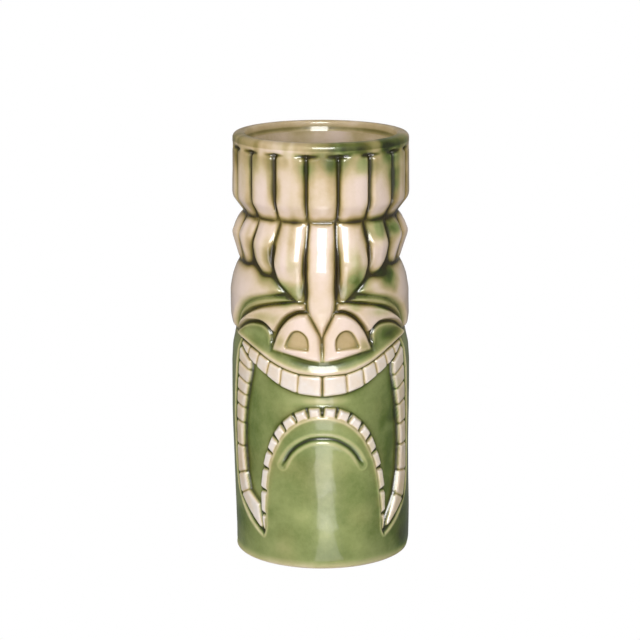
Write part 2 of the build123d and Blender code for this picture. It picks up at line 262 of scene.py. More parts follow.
LOCK_1_RUNS = [
    [(17.8, 134.3)],
    [(18.5, 130.0), (19.4, 125.0), (20.2, 119.5), (19.6, 115.2), (17.4, 111.6), (13.4, 107.8), (9.8, 105.0)],
    [(8.4, 104.0), (7.2, 104.4)],
    [(6.5, 106.5)],
    [(6.7, 115.0)],
    [(6.6, 126.0), (6.4, 134.3)],
]
LOCK_2_RUNS = [
    [(30.3, 134.3)],
    [(31.0, 126.0), (31.2, 120.5), (29.5, 117.0), (26.0, 114.2), (22.6, 113.6)],
    [(21.2, 115.4), (21.4, 120.0), (20.4, 126.0), (18.9, 134.3)],
]
LOCK_3_RUNS = [
    [(42.3, 134.3)],
    [(43.2, 126.0), (43.2, 120.0)],
    [(42.4, 117.3), (39.0, 116.4), (35.0, 116.7), (33.0, 118.0)],
    [(32.2, 121.0), (31.9, 126.0), (31.0, 134.3)],
]
BRIDGE_RUNS = [
    [(5.2, 134.3)],
    [(5.5, 126.0), (5.5, 114.5)],
    [(5.4, 104.5), (4.6, 100.0), (2.4, 95.6), (0.3, 91.2)],
    [(-0.3, 91.2)],
    [(-2.4, 95.6), (-4.6, 100.0), (-5.4, 104.5), (-5.5, 114.5)],
    [(-5.5, 126.0), (-5.2, 134.3)],
]
BROW_RUNS = [
    [(17.8, 111.0), (20.8, 112.8), (26.0, 113.3), (30.5, 115.4), (33.5, 116.2), (37.0, 115.4), (43.0, 115.4)],
    [(62.0, 115.4)],
    [(64.6, 114.0), (65.4, 111.0), (65.4, 93.0), (64.6, 90.0), (62.0, 88.6)],
    [(48.0, 88.6)],
    [(46.0, 89.5), (44.5, 92.5), (41.0, 97.0), (37.0, 100.5), (32.0, 103.3), (26.0, 105.3), (20.0, 106.5),
     (14.5, 107.6)],
]
EYE_RUNS = [
    [(15.0, 105.7), (20.0, 105.4), (26.0, 104.3), (32.0, 102.2), (37.0, 99.4), (41.0, 95.8), (44.0, 91.6)],
    [(40.5, 94.5), (36.0, 97.4), (31.0, 100.0), (25.0, 102.2), (18.0, 103.8), (11.0, 104.9)],
]
EYELID_RUNS = [
    [(6.3, 103.9)],
    [(8.0, 104.2), (11.0, 104.1), (18.0, 102.7), (25.0, 101.1), (31.0, 98.9), (36.0, 96.3), (41.0, 93.0),
     (46.6, 88.8)],
    [(43.5, 89.9), (41.0, 91.3), (36.0, 93.8), (31.0, 95.3), (26.0, 95.8), (22.6, 94.8), (19.9, 92.4)],
    [(18.9, 92.4)],
    [(16.8, 95.6), (13.6, 99.1), (9.5, 101.2), (6.3, 101.6)],
]
NOSTRIL_RUNS = [
    [(5.6, 100.6), (9.2, 100.2), (13.0, 98.1), (16.0, 94.9), (18.3, 91.2), (19.6, 88.0), (20.2, 85.4)],
    [(15.0, 84.6), (10.0, 83.6), (5.0, 82.4), (0.5, 81.8)],
    [(0.5, 85.0)],
    [(0.6, 91.2), (2.6, 95.6), (4.7, 99.6)],
]
HOLE_RUNS = [
    [(5.2, 88.5), (5.6, 91.0), (7.0, 93.0), (9.0, 93.8), (11.0, 92.9), (12.7, 90.2), (13.9, 87.7)],
    [(13.6, 87.1)],
    [(9.4, 86.9)],
    [(5.3, 86.6)],
]
MOUTH_TOP = [(0.0, 76.7), (9.2, 77.4), (15.0, 79.0), (20.0, 80.9), (27.0, 84.0), (33.0, 86.0), (37.0, 87.0),
             (39.2, 87.5)]
MOUTH_LINE = flip(MOUTH_TOP[::-1]) + MOUTH_TOP[1:]
MOUTH_SIDE = [(40.2, 84.0), (41.3, 78.0), (42.3, 71.0), (43.0, 64.0), (43.5, 56.0), (43.9, 48.0),
              (44.0, 40.0), (43.5, 33.0), (41.8, 27.0), (38.3, 21.5), (33.3, 16.5), (28.5, 13.0),
              (25.3, 11.0)]
MOUTH_ARCH = [(24.3, 14.0), (24.0, 20.0), (23.4, 28.0), (22.4, 36.0), (20.6, 42.5), (18.0, 48.0),
              (15.0, 53.0), (10.0, 57.6), (5.0, 60.0), (0.0, 60.8)]
LIP_TOP = [(43.2, 88.2), (40.4, 90.4), (36.0, 92.9), (31.0, 94.6), (26.0, 95.0), (22.8, 94.0), (20.6, 91.4),
           (20.8, 88.0), (20.8, 84.9)]
LIP_UNDER_NOSE = [(15.0, 84.2), (10.0, 83.1), (5.0, 81.9), (0.0, 81.4)]
CHIN_ARC = [(-15.6, 40.8), (-13.1, 45.2), (-10.0, 48.5), (-5.2, 51.3), (0.0, 52.1), (5.2, 51.3), (10.0, 48.5),
            (13.1, 45.2), (15.6, 40.8)]

# cuts between the teeth, each from the lip side to the open side of the row
UPPER_CUTS = [((0.1, 76.4), (0.1, 68.2)), ((9.1, 77.0), (9.7, 69.2)), ((15.9, 78.9), (16.8, 71.5)),
              ((21.2, 81.1), (22.8, 74.8)), ((26.3, 83.3), (28.1, 77.6)), ((31.4, 85.1), (33.1, 80.7)),
              ((38.9, 87.1), (37.2, 84.6))]
SIDE_CUTS = [((39.3, 84.2), (31.6, 78.6)), ((40.6, 76.6), (32.0, 73.0)), ((41.6, 69.6), (33.9, 67.2)),
             ((42.3, 62.2), (35.4, 60.7)), ((42.9, 53.4), (36.7, 52.8)), ((43.3, 44.4), (37.1, 44.4)),
             ((42.9, 33.2), (36.0, 34.4)), ((39.2, 22.6), (33.2, 25.8)), ((26.0, 12.4), (26.8, 15.6))]
SIDE_CUTS_LEFT = [((39.3, 84.2), (31.4, 79.2)), ((40.3, 78.2), (31.4, 75.3)), ((41.4, 71.8), (33.1, 69.9)),
                  ((42.1, 66.2), (34.5, 65.0)), ((42.6, 60.6), (35.7, 59.8)), ((43.0, 53.8), (36.7, 53.6)),
                  ((43.3, 43.9), (37.1, 44.1)), ((42.6, 32.0), (35.9, 34.4)), ((40.0, 24.4), (34.0, 27.4)),
                  ((25.6, 12.2), (27.6, 23.0))]
LOWER_CUTS = [((0.2, 60.9), (0.3, 64.2)), ((5.2, 60.3), (6.2, 63.7)), ((9.9, 58.1), (11.9, 61.3)),
              ((14.4, 54.3), (16.8, 57.2)), ((17.6, 49.6), (20.6, 52.2)), ((20.3, 44.4), (23.3, 46.0)),
              ((22.3, 38.0), (25.6, 38.6)), ((23.6, 29.0), (27.0, 29.4)), ((24.4, 19.4), (26.8, 19.8)),
              ((25.2, 12.6), (25.9, 12.9))]
# how far out the flat-topped parts stand
TOOTH_R = 34.6
UPPER_GUM_R = 33.9
LOWER_GUM_R = 32.9
MOUTH_FLOOR_R = 32.3
EYE_R = 33.2
EYELID_R = 34.5
NOSTRIL_R = 35.6
HOLE_DEPTH = 1.2
BAND_R = 33.85
BAND_UNDER_Z = 159.3
PIT_DEPTH = 1.55

heights = np.where(ALL_Z > LEDGE_Z + 0.3, level(GROUND, ALL_Z), level(SKIN, ALL_Z))
shares = {}
tooth_edge = np.full(ALL_U.shape, -9.0)
gum_edge = np.full(ALL_U.shape, -9.0)
deep_gum = np.full(ALL_U.shape, -9.0)


def raise_relief(patch, top, shoulder):
    """Lifts the map to the top surface inside a patch's outline, over a quarter-round shoulder."""
    lift = swell(patch.d / shoulder)
    window = heights[patch.at]
    heights[patch.at] = window + (top - window) * lift


def claim(node, patch):
    """Records a patch as the share of the map that a node owns."""
    shares.setdefault(node, []).append(patch)


def both_sides():
    """Each side's name, and how an outline given for the right side is turned to it."""
    return (("right", lambda runs: runs), ("left", mirrored))


# ------ crown, hair and nose bridge
def stave_spans():
    """The grooves' arc lengths at each side of every stave, from the front one round through +X."""
    right = list(zip(GROOVES[:-1], GROOVES[1:]))
    left = [(360 - b, 360 - a) for a, b in reversed(right)]
    spans = [(-GROOVES[0], GROOVES[0])] + right + [(GROOVES[-1], 360 - GROOVES[-1])] + left
    return [(radians(a) * FLAT_R, radians(b) * FLAT_R) for a, b in spans]


def unwrapped(low, high):
    """The same span with its middle within half a turn of the front line."""
    shift = TURN * np.round((low + high) / 2 / TURN)
    return low - shift, high - shift


def lobed(patch, profile, low, high, bulge, power=2.0):
    """A stave's top surface: its profile, falling off towards its sides."""
    across = (patch.u - (low + high) / 2) / ((high - low) / 2)
    return level(profile, patch.z) - bulge * np.abs(across) ** power


def make_crown():
    for number, (a, b) in enumerate(stave_spans(), 1):
        low, high = unwrapped(a, b)
        patch = bar_patch(low + 0.35, high - 0.35, 134.2, 172.0, 3.0)
        raise_relief(patch, lobed(patch, CROWN, low, high, 0.6, 3.0), 1.7)
        claim(f"crown_stave_{number:02d}", patch)
        # Each stave's pit under the band: sunk into the map here, and later darkened with painted shade of
        # the band.
        pit = patch_round(low - 5, low + 5, 157.0, 162.4)
        dip = np.clip(1 - np.abs(pit.u - low) / 5.4, 0, 1) * np.exp(-((pit.z - 159.8) / 0.8) ** 2)
        pits.append((pit, dip))


def sink_beside_bridge():
    """The deep grooves that part the nose bridge from the front locks."""
    patch = bar_patch(-7.2, 7.2, 106.0, 134.4, 1.5)
    sunk = 1.5 + 1.3 * np.clip((122 - patch.z) / 12, 0, 1)
    raise_relief(patch, level(BRIDGE, patch.z) - sunk, 1.0)


def make_hair():
    spans = stave_spans()[1:]
    for number, (a, b) in enumerate(spans, 1):
        from_front = min(number, len(spans) + 1 - number)
        low, high = unwrapped(a, b)
        if from_front <= 3:
            runs = (LOCK_1_RUNS, LOCK_2_RUNS, LOCK_3_RUNS)[from_front - 1]
            profile = (LOCK_1, LOCK_2, HAIR)[from_front - 1]
            patch = patch_of(outline(runs if number == from_front else mirrored(runs)))
        else:
            is_long = from_front > 5
            profile = LONG_HAIR if is_long else HAIR
            patch = bar_patch(low + 0.4, high - 0.4, 90.8 if is_long else 116.0, 134.8, 2.2)
        bulge, power = (1.6, 2.0) if from_front == 1 else (1.5, 1.3)
        raise_relief(patch, lobed(patch, profile, low, high, bulge, power), 1.8)
        claim(f"hair_stave_{number:02d}", patch)


def make_bridge():
    patch = patch_of(outline(BRIDGE_RUNS))
    raise_relief(patch, lobed(patch, BRIDGE, -5.5, 5.5, 0.8, 2.5), 1.8)
    claim("nose_bridge", patch)


# ------ face
def make_face():
    for side, turn in both_sides():
        brow = patch_of(outline(turn(BROW_RUNS)))
        raise_relief(brow, level(BROW, brow.z), 2.2)
        claim(f"brow_{side}", brow)
        eye = patch_of(outline(turn(EYE_RUNS)))
        raise_relief(eye, EYE_R, 0.9)
        claim(f"eye_{side}", eye)
        lid = patch_of(outline(turn(EYELID_RUNS)))
        raise_relief(lid, EYELID_R - 0.035 * np.maximum(np.abs(lid.u) - 34, 0), 1.1)
        claim(f"eyelid_{side}", lid)
        nostril = patch_of(outline(turn(NOSTRIL_RUNS)))
        raise_relief(nostril, NOSTRIL_R - 0.012 * (np.abs(nostril.u) - 9) ** 2, 1.5)
        claim(f"nostril_{side}", nostril)
        hole = patch_of(outline(turn(HOLE_RUNS)), 0.4)
        heights[hole.at] -= HOLE_DEPTH * swell(hole.d / 0.45)


def line_distance(line, u, z):
    """The distance to an open line of points."""
    nearest = np.full(u.shape, 1e9)
    for (ua, za), (ub, zb) in zip(line[:-1], line[1:]):
        du, dz = ub - ua, zb - za
        t = np.clip(((u - ua) * du + (z - za) * dz) / (du * du + dz * dz), 0, 1)
        nearest = np.minimum(nearest, (u - ua - t * du) ** 2 + (z - za - t * dz) ** 2)
    return np.sqrt(nearest)


def make_lip():
    """The upper lip with its two cheeks, over the mouth and under the lids."""
    lip = patch_of(outline([
        MOUTH_TOP[::-1][1:] + flip(MOUTH_TOP[1:]),
        flip(LIP_TOP[:1]),
        flip(LIP_TOP[1:]),
        flip(LIP_UNDER_NOSE) + LIP_UNDER_NOSE[::-1][1:] + LIP_TOP[-1:],
        LIP_TOP[::-1][1:],
        MOUTH_TOP[-1:],
    ]))
    above = line_distance(smooth_line(MOUTH_LINE), lip.u, lip.z)
    top = np.interp(above, [0.0, 0.5, 1.2, 3.5, 4.6, 9.0], [34.4, 34.8, 34.95, 33.95, 33.7, 33.75])
    cheek = np.exp(-((np.abs(lip.u) - 29) / 9) ** 2) * np.exp(-((lip.z - 90.5) / 4.0) ** 2)
    raise_relief(lip, top - 0.5 * cheek, 1.1)
    claim("upper_lip", lip)


def mouth_polygon():
    return outline([
        MOUTH_TOP[1:],
        MOUTH_SIDE,
        MOUTH_ARCH + flip(MOUTH_ARCH[::-1][1:] + MOUTH_SIDE[-1:]),
        flip(MOUTH_SIDE[::-1][1:] + MOUTH_TOP[-1:]),
        flip(MOUTH_TOP[::-1][1:]),
    ])


def make_mouth():
    """The hollow of the mouth, with the bead that runs round its edge."""
    mouth = patch_of(mouth_polygon(), margin=4.0)
    edge = np.exp(-((mouth.d + 0.75) / 0.55) ** 2)
    below = np.clip((LEDGE_Z - 1.5 - mouth.z) / 3, 0, 1)
    heights[mouth.at] += 0.22 * edge * below
    raise_relief(mouth, MOUTH_FLOOR_R, 1.3)
    bead = patch_round(-46.5, 46.5, 9.5, 87.0)
    bead.d = 0.75 - np.abs(signed_distance(mouth_polygon(), bead.u, bead.z) + 0.45)
    bead.d = np.where(bead.z > 86.6, -9.0, bead.d)
    claim("lip_bead", bead)
    return mouth


def flipped(cuts):
    """The same cuts on the left side of the mouth."""
    return [tuple(flip(cut)) for cut in cuts]


def tooth_row(cuts, spread):
    """The outlines of the teeth between one row's cuts, spread apart on the open side."""
    found = []
    for (a, b), (c, d) in zip(cuts[:-1], cuts[1:]):
        b, d = np.array(b), np.array(d)
        way = (d - b) / np.linalg.norm(d - b) * spread
        found.append(np.array([a, c, d - way, b + way]))
    return found


def make_teeth():
    """Teeth that stand a little way out of one gum per row; the bottom row's gaps open outwards."""
    rows = [("upper_teeth", UPPER_CUTS, flipped(UPPER_CUTS), 0.0, UPPER_GUM_R, 1.0, 0.1, gum_edge),
            ("side_teeth", SIDE_CUTS, flipped(SIDE_CUTS_LEFT), 0.0, UPPER_GUM_R, 0.9, 0.1, gum_edge),
            ("lower_teeth", LOWER_CUTS, flipped(LOWER_CUTS), 0.75, LOWER_GUM_R, 0.35, -0.45, deep_gum)]
    for name, right, left, spread, gum_r, corner, rail_gap, gum_map in rows:
        for side, cuts in (("right", right), ("left", left)):
            rail = [cut[0] for cut in cuts]
            edge = [cut[1] for cut in cuts[::-1]]
            bed = patch_of(np.array(rail + edge, float), 0.45)
            raise_relief(bed, gum_r, 1.5)
            gum_map[bed.at] = np.maximum(gum_map[bed.at], bed.d)
            for corners in tooth_row(cuts, spread):
                gaps = [rail_gap + corner] + [0.1 + corner] * 3
                tooth = patch_of(inset(corners, gaps), corner)
                raise_relief(tooth, TOOTH_R, 1.0)
                tooth_edge[tooth.at] = np.maximum(tooth_edge[tooth.at], tooth.d)
                claim(f"{name}_{side}", tooth)


def make_chin():
    """The curved groove over the chin, with a soft ridge along each side."""
    patch = patch_round(-19, 19, 37, 56)
    away = line_distance(smooth_line(CHIN_ARC), patch.u, patch.z)
    depth = 0.95 * np.clip((patch.z - 39.5) / 4.0, 0.3, 1)
    heights[patch.at] -= depth * np.exp(-(away / 0.85) ** 2) - 0.22 * np.exp(-((away - 2.0) / 0.8) ** 2)


pits = []
mouth = make_mouth()
make_chin()
make_lip()
make_teeth()
make_face()
sink_beside_bridge()
make_hair()
make_bridge()
make_crown()
heights += (np.maximum(BAND_R, heights) - heights) * swell((ALL_Z - BAND_UNDER_Z) / 1.6)
for pit, dip in pits:
    heights[pit.at] -= PIT_DEPTH * dip
heights = soften(heights, 0.26) + 0.035 * drift(5, 9.0) + 0.02 * drift(6, 4.0)


# ------ shares of the map
def merged_share(patches):
    """One patch over all of a node's outlines."""
    whole = Patch(min(p.first for p in patches), max(p.first + len(p.cols) - 1 for p in patches),
                  min(p.low for p in patches), max(p.low + len(p.rows) - 1 for p in patches))
    for p in patches:
        i, j = p.first - whole.first, p.low - whole.low
        part = whole.d[i:i + p.d.shape[0], j:j + p.d.shape[1]]
        np.maximum(part, p.d, out=part)
    return whole


best = np.full(ALL_U.shape, GROUND_LEVEL)
second = np.full(ALL_U.shape, -FAR)


def enter(share):
    """Enters a node's distance in the contest for each point of the map."""
    b = best[share.at]
    second[share.at] = np.maximum(np.minimum(b, share.d), second[share.at])
    best[share.at] = np.maximum(b, share.d)


def margin_over_rivals(at, d):
    """Positive where this distance wins the point, negative where it loses, by how much."""
    b = best[at]
    return d - np.where(d >= b, second[at], b)


node_shares = {node: merged_share(patches) for node, patches in shares.items()}
for share in node_shares.values():
    enter(share)


# ------ glaze and painted shade
# The glaze's thickness is 0 where it is thin and cream and 1 where it is pooled and nearly black; in the pits
# under the rim band, under the brows and under the nostrils it also carries painted shade. Its tint is 0 for
# the olive glaze and 1 for the green one. Each splash is its place (u, z), its reach both ways, how much
# thicker it lies and how green it is.
SPLASHES = [
    (9, 161.0, 15, 2.1, 0.72, 0.9), (-40, 161.0, 16, 2.5, 0.3, 0.1), (32, 161.4, 13, 2.2, 0.62, 1.0),
    (30, 156, 8, 6, 0.45, 1.0), (33, 149, 4, 5, 0.32, 0.9), (-6, 156, 4, 5, 0.16, 0.8),
    (5, 156.5, 5, 4, 0.18, 0.9), (16, 156, 4, 4, 0.2, 0.9), (25, 130.5, 4.5, 4.0, 0.5, 1.0),
    (35.2, 130.5, 4.4, 3.0, 0.6, 1.0), (31.5, 111.5, 4.8, 4.2, 0.8, 1.0), (27, 114, 4, 1.8, 0.6, 1.0),
    (12.5, 120, 3, 6, 0.12, 0.9), (-12, 119, 4, 5, 0.15, 0.7), (17, 110, 6, 3.5, 0.3, 0.9),
    (-17, 110, 6, 3, 0.36, 0.9), (17, 87, 3.5, 3.5, 0.46, 0.6), (-33, 90.5, 5, 2.0, -0.12, 1.0),
    (32, 90.2, 5, 2.4, 0.3, 1.0), (16, 114.5, 3, 4, 0.25, 0.9), (-22, 112, 6, 3, 0.3, 0.5),
    (12.5, 113, 2.6, 3, 0.3, 0.9), (-16, 88, 3.5, 5, 0.28, 0.4), (0, 106, 5, 16, 0.07, 0.0),
    (-20, 28, 12, 20, -0.06, 0.8), (-40, 50, 5, 32, 0.1, 0.0), (40, 50, 5, 32, 0.06, 0.0),
    (0, 66.2, 8, 1.5, -0.42, 0.0), (-31, 58, 4, 20, 0.1, 0.8), (32, 50, 6, 26, 0.16, 1.0),
    (42, 12, 12, 14, 0.26, 1.0), (-40, 11, 12, 9, 0.1, 0.7), (20, 30, 12, 24, 0.07, 1.0),
    (13, 103, 3, 2, 0.3, 0.8), (-14, 104, 4, 2, 0.2, 0.7), (-30, 96, 6, 2.5, 0.2, 0.2),
    (26, 100.0, 6, 2.2, 0.25, 0.9), (-22, 98.0, 6, 3.0, 0.22, 0.6), (-12, 131, 3, 6, 0.18, 0.1),
    (13, 118, 5, 6, 0.1, 0.5), (10, 109, 3, 4, 0.2, 0.7), (-10, 109, 3, 4, 0.2, 0.7),
    (-9, 160, 4, 1.5, 0.2, 0.6), (-28, 157, 5, 5, 0.14, 0.1), (8, 156, 6, 4, 0.12, 0.6),
]
# how far the green glaze covers a relief piece, where it does at all
PAINTED = {"upper_lip": 1.0, "eye_left": 0.65, "eye_right": 0.65}


def build_up(depth, most, soon):
    """How glaze gathers in a hollow: quickly at first, then no deeper than most."""
    return most * (1 - np.exp(-np.maximum(depth, 0) / soon))


def seams(width):
    """1 along the lines where relief pieces meet each other or the ground, fading over width."""
    relief = (best > GROUND_LEVEL + 0.01) | (ALL_Z > LEDGE_Z)
    return np.exp(-((best - np.maximum(second, GROUND_LEVEL)) / width) ** 2) * relief


def line_share(points, width):
    """1 along a smooth line through the points, fading over width."""
    line = smooth_line(points)
    low, high = line.min(axis=0), line.max(axis=0)
    patch = patch_round(low[0], high[0], low[1], high[1], 3 * width)
    found = np.zeros(ALL_U.shape)
    found[patch.at] = np.exp(-(line_distance(line, patch.u, patch.z) / width) ** 2)
    return found


def painted_share():
    """How far the green glaze was laid on: over the lower half and the lip, and less over the eyes."""
    painted = np.where(ALL_Z < LEDGE_Z, 1.0, 0.0)
    for node, patches in shares.items():
        if node == "lip_bead":
            continue
        for patch in patches:
            painted[patch.at] = np.where(patch.d > 0, PAINTED.get(node, 0.0), painted[patch.at])
    bead = patch_round(-41, 41, 76, 92)
    above = line_distance(MOUTH_LINE, bead.u, bead.z)
    painted[bead.at] *= 1 - 0.8 * np.clip(1.25 - above / 2.0, 0, 1)
    return painted


def settled_glaze(painted, face, waist):
    """The glaze's thickness as it gathers in hollows, and how far it has run off each high edge."""
    groove = soften(heights, 0.45) - heights
    hollow = soften(heights, 1.1) - heights
    wide = soften(heights, 2.6) - heights
    in_mouth = np.zeros(ALL_U.shape)
    in_mouth[mouth.at] = np.clip(mouth.d / 1.5, 0, 1)
    thick = (0.54 + 0.03 * drift(11, 16.0)) * painted + 0.035 * drift(12, 7.0) + 0.05
    thick -= 0.4 * np.exp(-((ALL_Z - 0.4) / 2.0) ** 2) * painted
    gathered = build_up(groove - 0.03, 0.4, 0.22) + build_up(hollow - 0.05, 0.3, 0.45)
    thick += gathered * (1 - 0.6 * in_mouth - 0.75 * face * (1 - in_mouth) - 0.25 * waist)
    thick += build_up(wide - 0.1, 0.2, 0.7) * (1 - 0.8 * in_mouth) * (1 - 0.4 * face)
    worn = build_up(-groove - 0.02, 0.6, 0.12) + build_up(-hollow - 0.04, 0.5, 0.3)
    worn = np.clip(worn, 0, 1)
    return thick * (1 - 0.85 * worn), worn


def glaze_in_seams(face, waist, streaks):
    """The dark lines where relief pieces meet, softer along the lids."""
    lines = (0.5 - 0.1 * face - 0.2 * waist) * seams(0.52) * streaks + (0.22 - 0.13 * face) * seams(1.5)
    lines += (0.22 - 0.15 * face) * seams(3.2) * (1 + 0.8 * drift(15, 8.0))
    for _, turn in both_sides():
        lines *= 1 - 0.8 * line_share(turn(EYE_RUNS)[0], 1.1)
    return lines * np.clip((ALL_Z - 84) / 5, 0, 1) * np.clip((160.5 - ALL_Z) / 1.5, 0, 1)


def glaze_round_teeth():
    """Thicker glaze on the gums, close beside each tooth."""
    beside = np.clip(0.6 - tooth_edge / 0.5, 0, 1) * np.clip(gum_edge / 0.4 + 0.3, 0, 1)
    between = np.clip(0.3 - tooth_edge / 0.5, 0, 1) * np.clip(deep_gum / 0.6, 0, 1)
    return 0.4 * beside + 0.5 * between


def glaze_in_holes(thick):
    """Darker glaze in the nostrils' holes and along their rims."""
    for _, turn in both_sides():
        hole = patch_of(outline(turn(HOLE_RUNS)), 0.4)
        rim = np.exp(-((hole.d - 0.2) / 0.4) ** 2) * np.clip((hole.z - 86.5) / 5, 0.25, 1)
        thick[hole.at] += 0.3 * np.clip(hole.d / 0.4, 0, 1) + 0.5 * rim


def paint_fields():
    """How thick the glaze lies, with painted shade in the pits under the rim band, under the brows and under
    the nostrils, and how green it is, over the whole map.
    """
    face = np.clip((ALL_Z - 80) / 6, 0, 1) * np.clip((109 - ALL_Z) / 4, 0, 1)
    waist = np.exp(-((ALL_Z - 134.6) / 1.3) ** 2)
    streaks = 1 + 0.3 * drift(14, 6.0)
    painted = painted_share()
    green = soften(painted, 1.6)
    thick, worn = settled_glaze(soften(painted, 0.45), face, waist)
    for _, turn in both_sides():
        # Under each brow a darker band over the top of the eye, tinted green: painted shade under the brow's
        # edge.
        under_brow = line_share(turn(EYE_RUNS)[0], 2.4)
        thick += 0.2 * under_brow + 0.5 * line_share(turn(NOSTRIL_RUNS)[0][:-1], 0.42)
        # A dark line under each nostril: painted shadow of the nostril, along its joint with the lip; and a
        # dark line along the top of each cheek.
        thick += 0.3 * line_share(turn(NOSTRIL_RUNS)[1], 0.5) + 0.35 * line_share(turn([LIP_TOP[:7]])[0], 0.5)
        green = np.maximum(green, 0.75 * under_brow)
    thick += glaze_in_seams(face, waist, streaks) + glaze_round_teeth()
    brushed = 0.05 * drift(41, 2.2, 14.0) + 0.05 * drift(42, 4.5, 20.0)
    thick += brushed * np.clip((ALL_Z - 113) / 6, 0, 1)
    # Darker still in each pit under the rim band: painted shade of the band's overhang, over the glaze pooled
    # there.
    for pit, dip in pits:
        thick[pit.at] += 0.2 * dip
    below_band = np.where(ALL_Z > 158, (ALL_Z - 158) / 1.6, (158 - ALL_Z) / 6.0)
    thick += 0.18 * np.exp(-below_band ** 2) * streaks
    glaze_in_holes(thick)
    for u, z, wide_u, wide_z, more, tint in SPLASHES:
        blob = np.exp(-((ALL_U - u) / wide_u) ** 2 - ((ALL_Z - z) / wide_z) ** 2)
        blob = np.clip(blob * (1 + 0.35 * drift(int(abs(u) * 7 + z), 4.0)), 0, 1)
        thick += more * blob * (1 - 0.6 * worn)
        green = np.maximum(green, tint * blob)
    return np.clip(thick, 0, 1), np.clip(green + 0.08 * drift(13, 10.0), 0, 1)


glaze_and_shade_map, green_map = paint_fields()


# ------ meshes
def mesh_columns():
    """The map's columns that the meshes use: close together in front, further apart behind."""
    middle = RASTER_COLS // 2
    fine = int(FINE_REACH / STEP_U / FINE_STRIDE) * FINE_STRIDE
    right = [*range(middle, middle + fine, FINE_STRIDE), *range(middle + fine, RASTER_COLS, COARSE_STRIDE)]
    return sorted(set(right + [2 * middle - c for c in right if 2 * middle - c >= 0]))


COLUMNS = mesh_columns()
MESH_U = (np.array(COLUMNS) - RASTER_COLS // 2) * STEP_U


def field_normals():
    """The surface's outward unit normals over the map, before the mug's lean."""
    slope_u = (np.roll(heights, -1, 0) - np.roll(heights, 1, 0)) / (2 * STEP_U / FLAT_R)
    slope_z = np.gradient(heights, STEP_Z, axis=1)
    angle = ALL_U / FLAT_R
    nx = heights * np.sin(angle) - slope_u * np.cos(angle)
    ny = -heights * np.cos(angle) - slope_u * np.sin(angle)
    nz = -heights * slope_z
    size = np.sqrt(nx * nx + ny * ny + nz * nz)
    return np.stack([nx / size, ny / size, nz / size], -1)


normal_map = field_normals()


def place(u, z, r):
    """A point of the flat layout at radius r, in the frame's metres."""
    angle = u / FLAT_R
    sag = np.clip((52.0 - z) / 46.0, 0, 1)
    aside = FOOT_ASIDE * (sag * sag * (3 - 2 * sag) - 0.4 * np.exp(-(z / 1.6) ** 2))
    aside = aside + HEAD_ASIDE * np.exp(-((z - 110.0) / 20.0) ** 4)
    return np.stack([r * np.sin(angle) + aside, -r * np.cos(angle), z], -1) * MM


def core_radius(z):
    return np.interp(z, [84.0, 90.0], [CUP_CORE_R, HEAD_CORE_R])


def grid_of(share):
    """The mesh columns and rows that cross a share; the columns count on past the back line."""
    last, high = share.first + len(share.cols) - 1, share.low + len(share.rows) - 1
    turns = range(share.first // RASTER_COLS - 1, last // RASTER_COLS + 2)
    cols = [c + RASTER_COLS * t for t in turns for c in COLUMNS if share.first <= c + RASTER_COLS * t <= last]
    rows = [r for r in range(FOOT_ROW, BAND_ROW + 1, FINE_STRIDE) if share.low <= r <= high]
    return np.array(cols), np.array(rows)


def cut_share(cols, rows, f, closed=False):
    """The part of the mesh grid where f is positive, cut along its zero line: points and faces.
    Each point is (u, z, radius, glaze thickness with its painted shade, green, normal); a closed grid's last
    column is its first again."""
    at = np.ix_(cols % RASTER_COLS, rows)
    u = (cols[:, None] - RASTER_COLS // 2) * STEP_U + 0.0 * rows[None, :]
    z = rows[None, :] * STEP_Z + 0 * u
    data = np.stack([u, z, heights[at], glaze_and_shade_map[at], green_map[at]], -1)
    data = np.concatenate([data, normal_map[at]], -1)
    inside = f > 0
    count = inside[:-1, :-1].astype(int) + inside[1:, :-1] + inside[1:, 1:] + inside[:-1, 1:]
    keep = inside.copy()
    if closed:
        keep[-1] = False
    number = np.full(inside.shape, -1)
    number[keep] = np.arange(keep.sum())
    if closed:
        number[-1] = number[0]
    points = list(data[keep])
    i, j = np.nonzero(count == 4)
    faces = np.stack([number[i, j], number[i + 1, j], number[i + 1, j + 1], number[i, j + 1]], 1).tolist()
    crossings = {}
    last_col = len(cols) - 1

    def crossing(a, b):
        if closed and a[0] == b[0] == last_col:
            a, b = (0, a[1]), (0, b[1])
        a, b = min(a, b), max(a, b)
        if (a, b) not in crossings:
            crossings[a, b] = len(points)
            points.append(data[a] + (data[b] - data[a]) * f[a] / (f[a] - f[b]))
        return crossings[a, b]

    for i, j in zip(*np.nonzero((count > 0) & (count < 4))):
        corners = [(i, j), (i + 1, j), (i + 1, j + 1), (i, j + 1)]
        face = []
        for a, b in zip(corners, corners[1:] + corners[:1]):
            if inside[a]:
                face.append(int(number[a]))
            if inside[a] != inside[b]:
                face.append(crossing(a, b))
        faces.append(face)
    return np.array(points), faces


def open_edges(faces):
    """The edges that only one face uses, in that face's direction."""
    edges = {(a, b) for face in faces for a, b in zip(face, face[1:] + face[:1])}
    return [(a, b) for a, b in edges if (b, a) not in edges]


